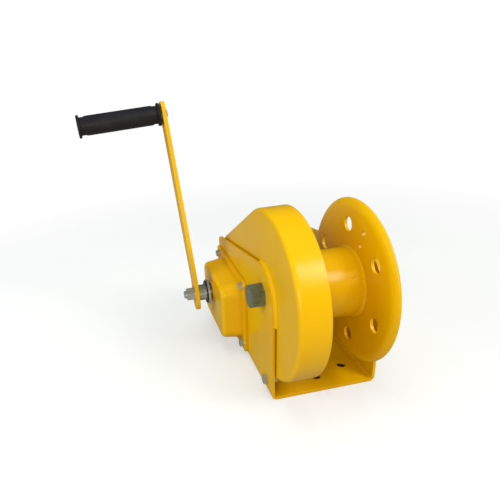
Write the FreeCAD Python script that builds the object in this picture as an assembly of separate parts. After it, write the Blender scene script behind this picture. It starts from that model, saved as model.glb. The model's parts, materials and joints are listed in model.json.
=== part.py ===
import FreeCAD, Part

import math
import os

# Boat trailer winch: a hand winch with a two-stage gear train and a friction brake.
# Millimetres. X runs along the drum axis from the crank side (negative) to the open
# side, Y from front to back and Z up. The origin is the centre of the base's bolt
# pattern, on the underside of the base. Stations along X are measured from the
# outer face of the left side plate, and places in Y from the base's front edge.

# ---- frame ----
FRAME_W = 150.0            # over both side plates
BASE_DEPTH = 268.0         # front to back
PLATE_T = 4.0
BEND_INNER_R = 4.0
PLATE_FRONT_H = 192.5      # height of the sharp front corner before rounding
PLATE_REAR_H = 142.0
FRONT_CORNER_R = 48.0
REAR_CORNER_R = 12.0
BASE_HOLE_D = 13.0         # for M12 bolts
PATTERN_X = 92.0           # corner hole spacing across the base
PATTERN_Y = 184.0          # corner hole spacing front to back
CENTRE_HOLE_SETBACK = 27.0

# ---- axes of the three shafts ----
DRUM_SETBACK = 40.3        # from the base's front edge
DRUM_HEIGHT = 142.5
CRANK_SETBACK = 119.0 + BASE_DEPTH / 4  # the shafts take up a quarter of the depth
CRANK_HEIGHT = 82.0

# ---- clearances ----
RUN_FIT = 0.05             # radial, shaft in bush
PRESS_GAP = 0.05           # radial, parts seated within one body
SIDE_GAP = 0.3             # between turning and standing faces
AIR = 0.3                  # between curved faces that don't work together

# ---- gears ----
PRESSURE_ANGLE = math.radians(25.0)
ADDENDUM = 0.9             # in modules
DEDENDUM = 1.2
BACKLASH = 0.24            # taken off each tooth at the pitch circle
FLANK_STEPS = 5
DRUM_MODULE = 4.0
DRUM_TEETH = 48
LAY_PINION_TEETH = 12
DRUM_GEAR_W = 12.0
CRANK_MODULE = 2.5
LAY_GEAR_TEETH = 30
CRANK_PINION_TEETH = 12
LAY_GEAR_W = 8.0
DRUM_GEAR_X = 10.0         # station of the drum gear's left face
LAY_GEAR_X = 25.0

# ---- drum axle ----
AXLE_R = 10.0
AXLE_HOLE_R = AXLE_R + AIR
SLEEVE_R = AXLE_R + 3.0
SLEEVE_BORE_R = AXLE_R + 0.2
AXLE_AF = 30.0
AXLE_HEAD_H = 18.0
AXLE_NUT_H = 16.0
AXLE_WASHER_T = 3.0
AXLE_WASHER_R = AXLE_R + 8.5
SPACER_R = SLEEVE_R + 5.0

# ---- shafts ----
SHAFT_R = 8.0
BUSH_R = SHAFT_R + 3.0
BUSH_FLANGE_R = BUSH_R + 2.5
BUSH_FLANGE_T = 1.5
SHAFT_END_INSET = 0.5
CLIP_T = 1.2
CLIP_R = SHAFT_R + 3.0
CLIP_GROOVE_R = SHAFT_R - 0.8

# ---- drum ----
BARREL_R = 46.0
BARREL_T = 4.0
FLANGE_X = 120.2           # station of the outer flange's rope side
FLANGE_T = 4.0
FLANGE_R = 108.0
CURL_R = 12.0              # the rim curls away from the rope
CURL_ANGLE = math.radians(50.0)
FLANGE_HOLES = 6
FLANGE_HOLE_R = 9.8
FLANGE_HOLE_CIRCLE_R = 77.2
FLANGE_HOLE_TURN = math.radians(8.0)
CLAMP_HOLE_R = 4.0
CLAMP_HOLES = ((81.7, math.radians(20.3)), (62.5, math.radians(21.4)))
BUTTON_R = 3.8             # domed rivet in the barrel
BUTTON_H = 1.8
BUTTON_X = 105.4
BUTTON_TURN = math.radians(54.7)
INNER_FLANGE_X = 36.0
INNER_FLANGE_R = 100.0
HUB_BORE_R = SLEEVE_R + 4.0
HUB_R = HUB_BORE_R + 5.0
DRUM_BUSH_L = 25.0
WELD_LEG = 3.5
WELD_CROWN = 0.6           # height of a weld's middle, in legs

# ---- gear cover ----
COVER_X = 5.3              # station of its left face
COVER_W = 38.2
COVER_T = 2.5
COVER_ROOM = 11.2          # radial, cover over the drum gear
COVER_R = DRUM_MODULE * (DRUM_TEETH / 2 + ADDENDUM) + COVER_T + COVER_ROOM
COVER_DROP = 2.7           # its centre lies this far under the drum axis
COVER_SLOPE = math.radians(30.7)
COVER_REAR = BASE_DEPTH - 15.0
COVER_REAR_BOTTOM = 10.0
COVER_CORNER_R = 12.0
COVER_EDGE_R = 5.0
COVER_LIP = 4.0
LUG_HALF_W = 11.0
LUG_SETBACK = 22.0
BEAD_LEG = 4.2
BEAD_RUN = 20.0            # straight run below the rounded corner
BEAD_CROWN = 0.4           # height of a bead's middle, in legs

# ---- brake ----
BRAKE_HUB_X = -1.8
BRAKE_FLANGE_R = 22.0
BRAKE_FLANGE_T = 4.0
BRAKE_SLEEVE_R = SHAFT_R + 4.0
FRICTION_R = BRAKE_FLANGE_R - 1.0
FRICTION_T = 3.0
RATCHET_R = 27.0
RATCHET_ROOT_R = RATCHET_R - 4.5
RATCHET_T = 6.0
RATCHET_TEETH = 12
PRESSURE_T = 5.0
COLLAR_R = SHAFT_R + 4.5
COLLAR_L = 18.0
PAWL_SETBACK = CRANK_SETBACK - 46.0
PAWL_HEIGHT = CRANK_HEIGHT + 10.0
PAWL_BOSS_R = 7.0
PAWL_NOSE_R = 2.0
PAWL_NOSE_TURN = math.radians(160.0)
PAWL_PIN_R = 4.0
SPRING_WIRE_R = 0.6
SPRING_TURNS = 3

# ---- brake cover ----
BRAKE_FRONT = CRANK_SETBACK - 78.5
BRAKE_REAR = BASE_DEPTH - 3.0
BRAKE_BOTTOM = 6.5
BRAKE_TOP = 127.5
BRAKE_PLATE_T = 4.0
BRAKE_PLATE_R = 6.0
BOX_INSET = 13.5           # box foot inside the plate's front and rear edges
BOX_FOOT_BOTTOM = 19.5
BOX_FOOT_TOP = 115.0
BOX_DEPTH = 30.0
BOX_DRAFT = 4.5            # how far the walls lean in over the depth
BOX_CORNER_R = 20.0
BOX_EDGE_R = 6.5
BOX_WALL = 2.5
BOSS_R = COLLAR_R + 4.5
BOSS_L = 2.5
COLLAR_PLAY = 0.5          # radial, collar in the cover's boss
COVER_BOLT_INSET_Y = 13.5
COVER_BOLT_INSET_Z = 10.5

# ---- crank ----
STOP_DISC_R = 19.5
STOP_DISC_T = 3.1
BLACK_DISC_R = 18.0
BLACK_DISC_T = 1.5
FLUTED_R = SHAFT_R + 4.6
FLUTED_L = 12.7
FLUTES = 12
FLUTE_W = 2.6
FLUTE_DEPTH = 1.8
ARM_T = 6.0
ARM_W = 30.0
ARM_LENGTH = 280.0         # crank axis to grip axis
ARM_BEND_H = 20.0          # the arm leans outwards above this height
ARM_TILT = math.radians(3.0)
ARM_TAIL = 26.0
ARM_TIP = 17.5
ARM_END_R = 13.0
ARM_LEAN = 18.3            # degrees back from upright
DRIVE_AF = SHAFT_R * 1.5
THREAD_R = SHAFT_R * 0.75
CRANK_WASHER_R = THREAD_R + 6.0
CRANK_WASHER_T = 1.5
CRANK_NUT_AF = THREAD_R * 2 + 7.0
CRANK_NUT_H = 10.4
THREAD_END = 4.5

# ---- grip ----
SPINDLE_R = 5.0
RIVET_R = 6.0
RIVET_T = 3.0
GRIP_WASHER_R = 8.5
GRIP_WASHER_T = 2.0
GRIP_L = 124.0
GRIP_R = 14.2
GRIP_NECK_R = 13.0
GRIP_FLANGE_R = 16.8
GRIP_FLANGE_T = 4.0
GRIP_NECK_L = 6.0
GRIP_TAPER_L = 3.0
GRIP_BORE_R = SPINDLE_R + AIR
GRIP_POCKET_R = 9.0
GRIP_POCKET_L = 4.5
SPINDLE_HEAD_R = 8.0
SPINDLE_HEAD_T = 2.5

# ---- fasteners ----
M6_R, M6_AF, M6_HEAD = 3.0, 10.0, 4.0
M6_WASHER_R, M6_WASHER_T = 6.0, 1.6
M8_R, M8_AF, M8_HEAD, M8_NUT = 4.0, 13.0, 5.3, 6.5
HEX_TURNED = 1.1           # how deep a hexagon's corners are turned down, in corner heights
BOLT_PROUD = 2.0           # of its nut
AXLE_PROUD = 3.0
AXLE_CHAMFER = 1.2
THREAD_CHAMFER = 1.0

LEFT = -FRAME_W / 2        # X of the left plate's outer face
FRONT = -BASE_DEPTH / 2    # Y of the base's front edge
AXIS_X = FreeCAD.Vector(1, 0, 0)
AXIS_Y = FreeCAD.Vector(0, 1, 0)

DRUM = (FRONT + DRUM_SETBACK, DRUM_HEIGHT)
CRANK = (FRONT + CRANK_SETBACK, CRANK_HEIGHT)
COVER_CENTRE = (DRUM[0], DRUM[1] - COVER_DROP)


def gear_reach(module, teeth_a, teeth_b):
    """Distance between the axes of two gears in mesh."""
    return module * (teeth_a + teeth_b) / 2


def lay_shaft_axis():
    """Where the lay shaft meshes with both the drum gear and the crank pinion."""
    to_drum = gear_reach(DRUM_MODULE, DRUM_TEETH, LAY_PINION_TEETH)
    to_crank = gear_reach(CRANK_MODULE, LAY_GEAR_TEETH, CRANK_PINION_TEETH)
    across, down = CRANK[0] - DRUM[0], CRANK[1] - DRUM[1]
    span = math.hypot(across, down)
    along = (to_drum ** 2 - to_crank ** 2 + span ** 2) / (2 * span)
    aside = math.sqrt(to_drum ** 2 - along ** 2)
    return (DRUM[0] + (along * across + aside * down) / span,
            DRUM[1] + (along * down - aside * across) / span)


LAY = lay_shaft_axis()


def vec(x, y, z):
    return FreeCAD.Vector(x, y, z)


def rod(x0, x1, r, axis):
    """A round bar along X between two stations."""
    return Part.makeCylinder(r, x1 - x0, vec(LEFT + x0, axis[0], axis[1]), AXIS_X)


def tube(x0, x1, r_out, r_in, axis):
    return rod(x0, x1, r_out, axis).cut(rod(x0 - 1, x1 + 1, r_in, axis))


def prism(points, x0, x1):
    """A closed outline of (y, z) points, carried along X between two stations."""
    wire = Part.makePolygon([vec(LEFT + x0, y, z) for y, z in points + points[:1]])
    return Part.Face(wire).extrude(vec(x1 - x0, 0, 0))


def hexagon(x0, x1, across_flats, axis, chamfered=1):
    """A hexagon bar along X, its corners turned down at the chamfered ends (1 or 2)."""
    corner = across_flats / 2 / math.cos(math.pi / 6)
    turns = [math.pi / 3 * i for i in range(6)]
    bar = prism([(axis[0] + corner * math.sin(a), axis[1] + corner * math.cos(a))
                 for a in turns], x0, x1)
    turned = rod(x0, x1, corner, axis)
    depth = (corner - across_flats / 2) * HEX_TURNED
    rims = [e for e in turned.Edges if isinstance(e.Curve, Part.Circle)]
    rims.sort(key=lambda e: e.Curve.Center.x)
    return bar.common(turned.makeChamfer(depth, rims[:chamfered]))


def ring_section(points, axis):
    """Turns an outline of (station, radius) points about an axis along X."""
    wire = Part.makePolygon([vec(LEFT + x, axis[0], axis[1] + r)
                             for x, r in points + points[:1]])
    return Part.Face(wire).revolve(vec(LEFT, axis[0], axis[1]), AXIS_X, 360)


def belt(circles, x0, x1):
    """The outline a belt takes round (y, z, r) circles, counter-clockwise, along X."""
    count = len(circles)
    normals = []
    for i in range(count):
        (y0, z0, r0), (y1, z1, r1) = circles[i], circles[(i + 1) % count]
        heading = math.atan2(z1 - z0, y1 - y0)
        normals.append(heading - math.acos((r0 - r1) / math.hypot(y1 - y0, z1 - z0)))

    def touch(circle, turn):
        y, z, r = circle
        return vec(LEFT + x0, y + r * math.cos(turn), z + r * math.sin(turn))

    edges = []
    for i in range(count):
        enter, leave = normals[i - 1], normals[i]
        swing = (leave - enter) % (2 * math.pi)
        arc = [touch(circles[i], enter + swing * part) for part in (0, 0.5, 1)]
        edges.append(Part.Arc(*arc).toShape())
        edges.append(Part.LineSegment(arc[2], touch(circles[(i + 1) % count], leave)).toShape())
    return Part.Face(Part.Wire(edges)).extrude(vec(x1 - x0, 0, 0))


def edges_at(shape, test):
    return [e for e in shape.Edges if test(e)]


def turn_about_x(shape, degrees, axis):
    turned = shape.copy()
    turned.rotate(vec(0, axis[0], axis[1]), AXIS_X, degrees)
    return turned


# ---------------------------------------------------------------- gears

def involute(angle):
    return math.tan(angle) - angle


def gear(module, teeth, x0, width, axis, bore, tooth_towards):
    """A spur gear with one tooth centred on the direction tooth_towards."""
    pitch = module * teeth / 2
    base = pitch * math.cos(PRESSURE_ANGLE)
    tip = pitch + ADDENDUM * module
    root = pitch - DEDENDUM * module
    start = max(base, root)
    half_at_pitch = (math.pi * module / 2 - BACKLASH) / (2 * pitch)
    flank = []
    for i in range(FLANK_STEPS + 1):
        r = start + (tip - start) * i / FLANK_STEPS
        half = half_at_pitch + involute(PRESSURE_ANGLE) - involute(math.acos(base / r))
        flank.append((r, half))
    if root < start:
        flank.insert(0, (root, flank[0][1]))
    outline = []
    for tooth in range(teeth):
        centre = tooth_towards + 2 * math.pi * tooth / teeth
        for r, half in flank:
            outline.append((r, centre - half))
        for r, half in reversed(flank):
            outline.append((r, centre + half))
    points = [(axis[0] + r * math.cos(a), axis[1] + r * math.sin(a)) for r, a in outline]
    return prism(points, x0, x0 + width).cut(rod(x0 - 1, x0 + width + 1, bore, axis))


def direction(start, end):
    return math.atan2(end[1] - start[1], end[0] - start[0])


def drum_gear():
    return gear(DRUM_MODULE, DRUM_TEETH, DRUM_GEAR_X, DRUM_GEAR_W, DRUM,
                HUB_R + PRESS_GAP, direction(DRUM, LAY))


def lay_pinion():
    gap_first = direction(LAY, DRUM) + math.pi / LAY_PINION_TEETH
    return gear(DRUM_MODULE, LAY_PINION_TEETH, DRUM_GEAR_X, DRUM_GEAR_W, LAY,
                SHAFT_R + PRESS_GAP, gap_first)


def lay_gear():
    return gear(CRANK_MODULE, LAY_GEAR_TEETH, LAY_GEAR_X, LAY_GEAR_W, LAY,
                SHAFT_R + PRESS_GAP, direction(LAY, CRANK))


def crank_pinion():
    gap_first = direction(CRANK, LAY) + math.pi / CRANK_PINION_TEETH
    return gear(CRANK_MODULE, CRANK_PINION_TEETH, LAY_GEAR_X, LAY_GEAR_W, CRANK,
                SHAFT_R + PRESS_GAP, gap_first)


# ---------------------------------------------------------------- frame

def base_hole(x, y):
    return Part.makeCylinder(BASE_HOLE_D / 2, PLATE_T + 2, vec(x, y, -1))


def channel():
    """The bent U section along the whole depth, higher than the plates."""
    height = PLATE_FRONT_H + FRONT_CORNER_R
    outer = Part.makeBox(FRAME_W, BASE_DEPTH, height, vec(LEFT, FRONT, 0))
    inner = Part.makeBox(FRAME_W - 2 * PLATE_T, BASE_DEPTH, height,
                         vec(LEFT + PLATE_T, FRONT, PLATE_T))
    for_bend = lambda z: (lambda e: abs(e.CenterOfMass.z - z) < 0.01
                          and abs(e.Length - BASE_DEPTH) < 0.01)
    outer = outer.makeFillet(BEND_INNER_R + PLATE_T, edges_at(outer, for_bend(0)))
    inner = inner.makeFillet(BEND_INNER_R, edges_at(inner, for_bend(PLATE_T)))
    return outer.cut(inner)


def side_profile():
    """The plates' outline: upright front, large front corner, top falling to the rear."""
    corners = [(FRONT, 0), (FRONT + BASE_DEPTH, 0),
               (FRONT + BASE_DEPTH, PLATE_REAR_H), (FRONT, PLATE_FRONT_H)]
    solid = prism(corners, 0, FRAME_W)
    for y, height, radius in ((FRONT, PLATE_FRONT_H, FRONT_CORNER_R),
                              (FRONT + BASE_DEPTH, PLATE_REAR_H, REAR_CORNER_R)):
        corner = edges_at(solid, lambda e: abs(e.CenterOfMass.y - y) < 0.01
                          and abs(e.CenterOfMass.z - height) < 0.01)
        solid = solid.makeFillet(radius, corner)
    return solid


def cover_bolt_places():
    """The four bolts at the corners of the brake cover, as (y, z)."""
    return [(FRONT + y, z)
            for y in (BRAKE_FRONT + COVER_BOLT_INSET_Y, BRAKE_REAR - COVER_BOLT_INSET_Y)
            for z in (BRAKE_BOTTOM + COVER_BOLT_INSET_Z, BRAKE_TOP - COVER_BOLT_INSET_Z)]


def lug_place():
    """The lug's bolt, its nut just clear of the cover's wall."""
    y = FRONT + LUG_SETBACK
    wall = COVER_CENTRE[1] - math.sqrt(COVER_R ** 2 - (y - COVER_CENTRE[0]) ** 2)
    return (y, wall - M8_AF / 2 / math.cos(math.pi / 6) - AIR)


LUG = lug_place()
PAWL = (FRONT + PAWL_SETBACK, PAWL_HEIGHT)


def frame_bracket():
    bracket = channel().common(side_profile())
    cuts = [rod(-1, FRAME_W + 1, AXLE_HOLE_R, DRUM)]
    cuts += [rod(-1, FRAME_W + 1, BUSH_R + PRESS_GAP, axis) for axis in (LAY, CRANK)]
    cuts += [rod(-1, PLATE_T + 1, M6_R + PRESS_GAP, place) for place in cover_bolt_places()]
    cuts += [rod(-1, PLATE_T + 1, M8_R + AIR, LUG),
             rod(-1, PLATE_T + 1, PAWL_PIN_R + PRESS_GAP, PAWL)]
    cuts += [base_hole(sx * PATTERN_X / 2, sy * PATTERN_Y / 2) for sx in (-1, 1) for sy in (-1, 1)]
    hole_y = BASE_DEPTH / 2 - CENTRE_HOLE_SETBACK
    cuts += [base_hole(0, sy * hole_y) for sy in (-1, 1)]
    return bracket.cut(cuts)


# ---------------------------------------------------------------- gear cover

def cover_circles(inset):
    """The cover's three corner circles, drawn in by the given inset."""
    y = FRONT + COVER_REAR - COVER_CORNER_R
    fall = math.sin(COVER_SLOPE) * (y - COVER_CENTRE[0])
    upper_z = COVER_CENTRE[1] + (COVER_R - COVER_CORNER_R - fall) / math.cos(COVER_SLOPE)
    return [(COVER_CENTRE[0], COVER_CENTRE[1], COVER_R - inset),
            (y, COVER_REAR_BOTTOM + COVER_CORNER_R, COVER_CORNER_R - inset),
            (y, upper_z, COVER_CORNER_R - inset)]


def gear_cover():
    """A deep pressed shell, open towards the drum, with a lip round its mouth."""
    mouth = COVER_X + COVER_W
    outer = belt(cover_circles(0), COVER_X, mouth)
    rim = edges_at(outer, lambda e: abs(e.BoundBox.XMax - (LEFT + COVER_X)) < 0.01)
    shell = outer.makeFillet(COVER_EDGE_R, rim)
    shell = shell.cut(belt(cover_circles(COVER_T), COVER_X + COVER_T, mouth - COVER_T))
    shell = shell.cut(belt(cover_circles(COVER_LIP), mouth - COVER_T - 1, mouth + 1))
    tongue = belt([(LUG[0], LUG[1], LUG_HALF_W),
                   (LUG[0], COVER_CENTRE[1] - COVER_R / 2, LUG_HALF_W)],
                  COVER_X, COVER_X + COVER_T)
    shell = shell.fuse(tongue)
    reach = COVER_X + COVER_T + 1
    return shell.cut([rod(0, reach, SPACER_R + 2, DRUM), rod(0, reach, M8_R + AIR, LUG),
                      rod(0, reach, BUSH_FLANGE_R + AIR, LAY),
                      rod(0, reach, BUSH_FLANGE_R + AIR, CRANK)])


def bead_corners(r):
    """The bead's section as (station, radius) points, r being its foot on the plate's rim."""
    return [(COVER_X - BEAD_LEG, r), (COVER_X, r), (COVER_X, r + BEAD_LEG),
            (COVER_X - BEAD_LEG * BEAD_CROWN, r + BEAD_LEG * BEAD_CROWN)]


def cover_bead():
    """The weld down the left plate's rounded front corner, against the cover's face."""
    fall = math.atan2(PLATE_FRONT_H - PLATE_REAR_H, BASE_DEPTH)
    half_turn = (math.pi / 2 + fall) / 2
    centre = (FRONT + FRONT_CORNER_R, PLATE_FRONT_H - FRONT_CORNER_R * math.tan(half_turn))
    far = 2 * FRONT_CORNER_R
    window = prism([centre, (centre[0] - far, centre[1]), (centre[0] - far, centre[1] + far),
                    (centre[0] + far * math.tan(fall), centre[1] + far)], 0, 2 * PLATE_T)
    bend = ring_section(bead_corners(FRONT_CORNER_R), centre).common(window)
    foot = [vec(LEFT + x, centre[0] - r, centre[1]) for x, r in bead_corners(FRONT_CORNER_R)]
    run = Part.Face(Part.makePolygon(foot + foot[:1])).extrude(vec(0, 0, -BEAD_RUN))
    return bend.fuse(run)


# ---------------------------------------------------------------- brake cover

def rounded_rectangle(x, y0, y1, z0, z1, r):
    """A closed wire of four sides and four corner arcs at station x."""
    tangents = [((y0 + r, z0), (y1 - r, z0)), ((y1, z0 + r), (y1, z1 - r)),
                ((y1 - r, z1), (y0 + r, z1)), ((y0, z1 - r), (y0, z0 + r))]
    corners = [(y1 - r, z0 + r, -45), (y1 - r, z1 - r, 45),
               (y0 + r, z1 - r, 135), (y0 + r, z0 + r, 225)]
    at = lambda point: vec(LEFT + x, point[0], point[1])
    edges = []
    for i in range(4):
        start, end = tangents[i]
        after = tangents[(i + 1) % 4][0]
        y, z, turn = corners[i]
        middle = (y + r * math.cos(math.radians(turn)), z + r * math.sin(math.radians(turn)))
        edges.append(Part.LineSegment(at(start), at(end)).toShape())
        edges.append(Part.Arc(at(end), at(middle), at(after)).toShape())
    return Part.Wire(edges)


def drafted_box(inset, foot_x, face_x):
    """The cover's hump between two stations, drawn in by the wall thickness given."""
    wires = []
    for x in (foot_x, face_x):
        lean = inset + BOX_DRAFT * (-BRAKE_PLATE_T - x) / BOX_DEPTH
        wires.append(rounded_rectangle(x, FRONT + BRAKE_FRONT + BOX_INSET + lean,
                                       FRONT + BRAKE_REAR - BOX_INSET - lean,
                                       BOX_FOOT_BOTTOM + lean, BOX_FOOT_TOP - lean,
                                       BOX_CORNER_R - lean))
    return Part.makeLoft(wires, True, True)


def brake_cover():
    face = -BRAKE_PLATE_T - BOX_DEPTH
    plate = Part.Face(rounded_rectangle(-BRAKE_PLATE_T, FRONT + BRAKE_FRONT, FRONT + BRAKE_REAR,
                                        BRAKE_BOTTOM, BRAKE_TOP, BRAKE_PLATE_R))
    plate = plate.extrude(vec(BRAKE_PLATE_T, 0, 0))
    hump = drafted_box(0, -BRAKE_PLATE_T / 2, face)
    rim = edges_at(hump, lambda e: abs(e.BoundBox.XMax - (LEFT + face)) < 0.01)
    hump = hump.makeFillet(BOX_EDGE_R, rim)
    body = plate.fuse(hump).cut(drafted_box(BOX_WALL, 1, face + BOX_WALL))
    body = body.fuse(tube(face - BOSS_L, face + 1, BOSS_R, COLLAR_R, CRANK))
    holes = [rod(-BRAKE_PLATE_T - 1, 1, M6_R + AIR, place) for place in cover_bolt_places()]
    return body.cut([rod(face - BOSS_L - 1, face + BOX_WALL + 1, COLLAR_R + COLLAR_PLAY, CRANK)] + holes)


# ---------------------------------------------------------------- fasteners

def hex_bolt(under_head, end, r, across_flats, head, axis):
    """A bolt whose head lies left of the station under_head."""
    return hexagon(under_head - head, under_head, across_flats, axis).fuse(
        rod(under_head, end, r, axis))


def washer_bolt(place):
    """A cover bolt whose head is one piece with its washer."""
    washer_face = -BRAKE_PLATE_T - M6_WASHER_T
    return hex_bolt(washer_face, PLATE_T, M6_R, M6_AF, M6_HEAD, place).fuse(
        rod(washer_face, -BRAKE_PLATE_T, M6_WASHER_R, place))


def brake_cover_bolts():
    return Part.makeCompound([washer_bolt(place) for place in cover_bolt_places()])


def lug_bolt():
    return hex_bolt(0, COVER_X + COVER_T + M8_NUT + BOLT_PROUD, M8_R, M8_AF, M8_HEAD, LUG)


def lug_nut():
    x0 = COVER_X + COVER_T
    return hexagon(x0, x0 + M8_NUT, M8_AF, LUG, 2).cut(
        rod(x0 - 1, x0 + M8_NUT + 1, M8_R + PRESS_GAP, LUG))


def lug_spacer():
    """The thin shim between the plate and the cover's tongue."""
    return tube(PLATE_T, COVER_X, M8_AF / 2, M8_R + AIR, LUG)


# ---------------------------------------------------------------- drum axle

AXLE_END = FRAME_W + AXLE_WASHER_T + AXLE_NUT_H


def axle_bolt():
    head = hexagon(-AXLE_HEAD_H, 0, AXLE_AF, DRUM)
    shank = rod(0, AXLE_END + AXLE_PROUD, AXLE_R, DRUM)
    tip = edges_at(shank, lambda e: e.BoundBox.XMin > LEFT + AXLE_END + 1
                   and isinstance(e.Curve, Part.Circle))
    return head.fuse(shank.makeChamfer(AXLE_CHAMFER, tip))


def axle_nut():
    x0 = FRAME_W + AXLE_WASHER_T
    return hexagon(x0, AXLE_END, AXLE_AF, DRUM, 2).cut(
        rod(x0 - 1, AXLE_END + 1, AXLE_R + PRESS_GAP, DRUM))


def axle_washer():
    return tube(FRAME_W, FRAME_W + AXLE_WASHER_T, AXLE_WASHER_R, AXLE_HOLE_R, DRUM)


def axle_sleeve():
    """The tube that the drum runs on, clamped between the side plates."""
    return tube(PLATE_T, FRAME_W - PLATE_T, SLEEVE_R, SLEEVE_BORE_R, DRUM)


def drum_left_face():
    return DRUM_GEAR_X


def drum_right_face():
    return FLANGE_X + FLANGE_T


def drum_spacers():
    left = tube(PLATE_T, drum_left_face() - SIDE_GAP, SPACER_R, SLEEVE_R + PRESS_GAP, DRUM)
    right = tube(drum_right_face() + SIDE_GAP, FRAME_W - PLATE_T, SPACER_R,
                 SLEEVE_R + PRESS_GAP, DRUM)
    return Part.makeCompound([left, right])


# ---------------------------------------------------------------- drum

def around_drum(radius, turn):
    """A place at this radius, turned from straight up towards the front."""
    return (DRUM[0] - radius * math.sin(turn), DRUM[1] + radius * math.cos(turn))


def drum_barrel():
    """The barrel, with the domed head of a rivet standing out of it."""
    barrel = tube(DRUM_GEAR_X + DRUM_GEAR_W, FLANGE_X, BARREL_R, BARREL_R - BARREL_T, DRUM)
    dome_r = (BUTTON_R ** 2 + BUTTON_H ** 2) / (2 * BUTTON_H)
    centre = around_drum(BARREL_R + BUTTON_H - dome_r, BUTTON_TURN)
    dome = Part.makeSphere(dome_r, vec(LEFT + BUTTON_X, *centre))
    foot = around_drum(BARREL_R - BARREL_T / 2, BUTTON_TURN)
    outward = vec(0, -math.sin(BUTTON_TURN), math.cos(BUTTON_TURN))
    stem = Part.makeCylinder(BUTTON_R, BARREL_T, vec(LEFT + BUTTON_X, *foot), outward)
    return barrel.fuse(dome.common(stem))


def drum_flange_outer():
    """A flat disc whose rim curls away from the rope."""
    flat_r = FLANGE_R - CURL_R * math.sin(CURL_ANGLE)
    x0, x1 = FLANGE_X, FLANGE_X + FLANGE_T
    half = FLANGE_T / 2
    bend_x = FLANGE_X + half + CURL_R

    def curl(r, part):
        a = CURL_ANGLE * part
        return vec(LEFT + bend_x - r * math.cos(a), DRUM[0], DRUM[1] + flat_r + r * math.sin(a))

    at = lambda x, r: vec(LEFT + x, DRUM[0], DRUM[1] + r)
    outer, inner = CURL_R + half, CURL_R - half
    bore = HUB_R + PRESS_GAP
    line = lambda a, b: Part.LineSegment(a, b).toShape()
    tip_out, tip_in = curl(outer, 1), curl(inner, 1)
    tip = tip_out.add(tip_in).multiply(0.5).add(
        vec(math.sin(CURL_ANGLE), 0, math.cos(CURL_ANGLE)).multiply(half))
    section = Part.Wire([
        line(at(x0, bore), curl(outer, 0)),
        Part.Arc(curl(outer, 0), curl(outer, 0.5), tip_out).toShape(),
        Part.Arc(tip_out, tip, tip_in).toShape(),
        Part.Arc(tip_in, curl(inner, 0.5), curl(inner, 0)).toShape(),
        line(curl(inner, 0), at(x1, bore)), line(at(x1, bore), at(x0, bore))])
    disc = Part.Face(section).revolve(vec(LEFT, *DRUM), AXIS_X, 360)
    step = 2 * math.pi / FLANGE_HOLES
    holes = [rod(x0 - 1, x1 + 1, FLANGE_HOLE_R,
                 around_drum(FLANGE_HOLE_CIRCLE_R, step * i - FLANGE_HOLE_TURN))
             for i in range(FLANGE_HOLES)]
    holes += [rod(x0 - 1, x1 + 1, CLAMP_HOLE_R, around_drum(r, a)) for r, a in CLAMP_HOLES]
    return disc.cut(holes)


def drum_flange_inner():
    return tube(INNER_FLANGE_X, INNER_FLANGE_X + FLANGE_T, INNER_FLANGE_R,
                BARREL_R + PRESS_GAP, DRUM)


def drum_welds():
    """Fillet beads where the barrel meets the two flanges, on the rope side."""
    outer = [(FLANGE_X, BARREL_R), (FLANGE_X, BARREL_R + WELD_LEG),
             (FLANGE_X - WELD_LEG * WELD_CROWN, BARREL_R + WELD_LEG * WELD_CROWN),
             (FLANGE_X - WELD_LEG, BARREL_R)]
    face = INNER_FLANGE_X + FLANGE_T
    inner = [(2 * face - (x - FLANGE_X + face), r) for x, r in outer]
    return Part.makeCompound([ring_section(outer, DRUM), ring_section(inner, DRUM)])


def drum_hub():
    return tube(drum_left_face(), drum_right_face(), HUB_R, HUB_BORE_R, DRUM)


def drum_bushes():
    bore, outside = SLEEVE_R + RUN_FIT, HUB_BORE_R - PRESS_GAP
    left, right = drum_left_face(), drum_right_face()
    return Part.makeCompound([tube(left, left + DRUM_BUSH_L, outside, bore, DRUM),
                              tube(right - DRUM_BUSH_L, right, outside, bore, DRUM)])


# ---------------------------------------------------------------- shafts

CLIP_X = (PLATE_T + BUSH_FLANGE_T + SIDE_GAP,
          FRAME_W - PLATE_T - BUSH_FLANGE_T - SIDE_GAP - CLIP_T)


def plate_bush(axis, right):
    """A flanged bush in a side plate, its flange inside the frame."""
    body = rod(0, PLATE_T, BUSH_R, axis)
    flange = rod(PLATE_T, PLATE_T + BUSH_FLANGE_T, BUSH_FLANGE_R, axis)
    bush = body.fuse(flange).cut(rod(-1, 2 * PLATE_T, SHAFT_R + RUN_FIT, axis))
    return bush.mirror(vec(0, 0, 0), AXIS_X) if right else bush


def shaft_bushes(axis):
    return Part.makeCompound([plate_bush(axis, False), plate_bush(axis, True)])


def clip_grooves(axis, stations):
    return [tube(x - 0.05, x + CLIP_T + 0.05, CLIP_R, CLIP_GROOVE_R, axis) for x in stations]


def shaft_clips(axis, stations):
    """Retaining rings, each open towards the front."""
    clips = []
    for x in stations:
        ring = tube(x, x + CLIP_T, CLIP_R, CLIP_GROOVE_R + PRESS_GAP, axis)
        mouth = Part.makeBox(CLIP_T + 2, 2 * CLIP_R, CLIP_R / 2,
                             vec(LEFT + x - 1, axis[0] - 2 * CLIP_R, axis[1] - CLIP_R / 4))
        clips.append(ring.cut(mouth))
    return Part.makeCompound(clips)


def lay_shaft():
    return rod(SHAFT_END_INSET, FRAME_W - SHAFT_END_INSET, SHAFT_R, LAY).cut(
        clip_grooves(LAY, CLIP_X))


# ---------------------------------------------------------------- brake, outwards from the plate

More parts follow.
